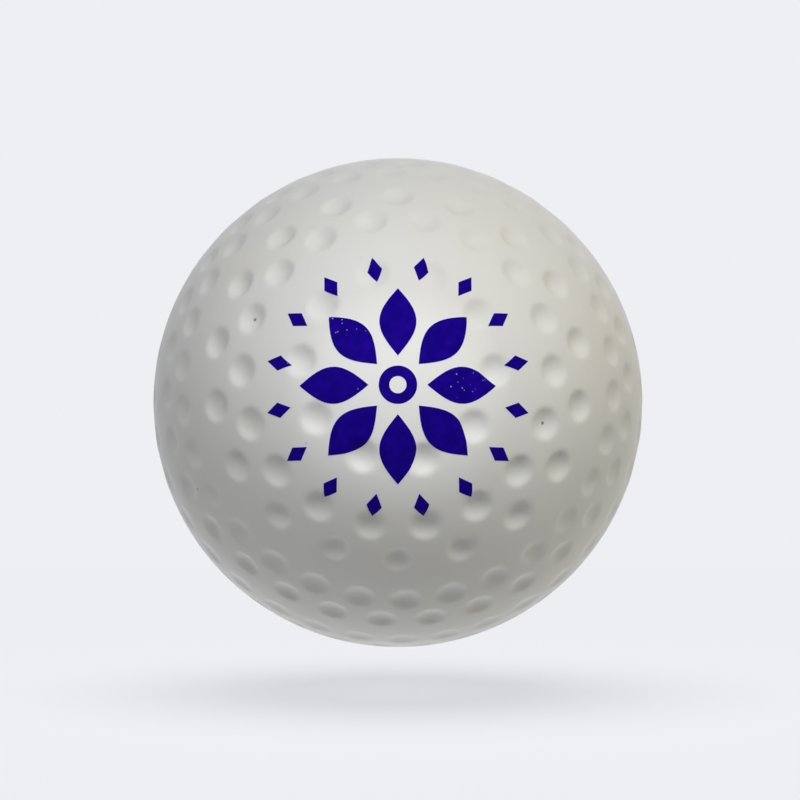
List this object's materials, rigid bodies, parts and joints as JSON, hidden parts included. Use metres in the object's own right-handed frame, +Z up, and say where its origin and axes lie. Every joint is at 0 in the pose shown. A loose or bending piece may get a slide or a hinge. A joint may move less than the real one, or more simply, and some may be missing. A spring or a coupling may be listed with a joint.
{
  "type": "field hockey ball",
  "caption": "Solid field hockey ball: a dimpled, moulded plastic cover with a smooth round panel on each face, over a cork core.",
  "frame": {"origin": "centre of the ball", "axes": "Y along the moulding axis: the printed front panel faces -Y, the rear panel +Y, and the cover's halves meet on Y = 0. +Z is up in the picture"},
  "size_m": [0.073, 0.073, 0.073],
  "materials": {
    "cover_plastic": "white moulded vinyl, satin",
    "core_cork": "pressed cork and rubber granules",
    "print_ink": "printed ink film"
  },
  "bodies": {
    "root": {"front_half_shell": "cover_plastic", "rear_half_shell": "cover_plastic", "cork_core": "core_cork"}
  },
  "joints": []
}
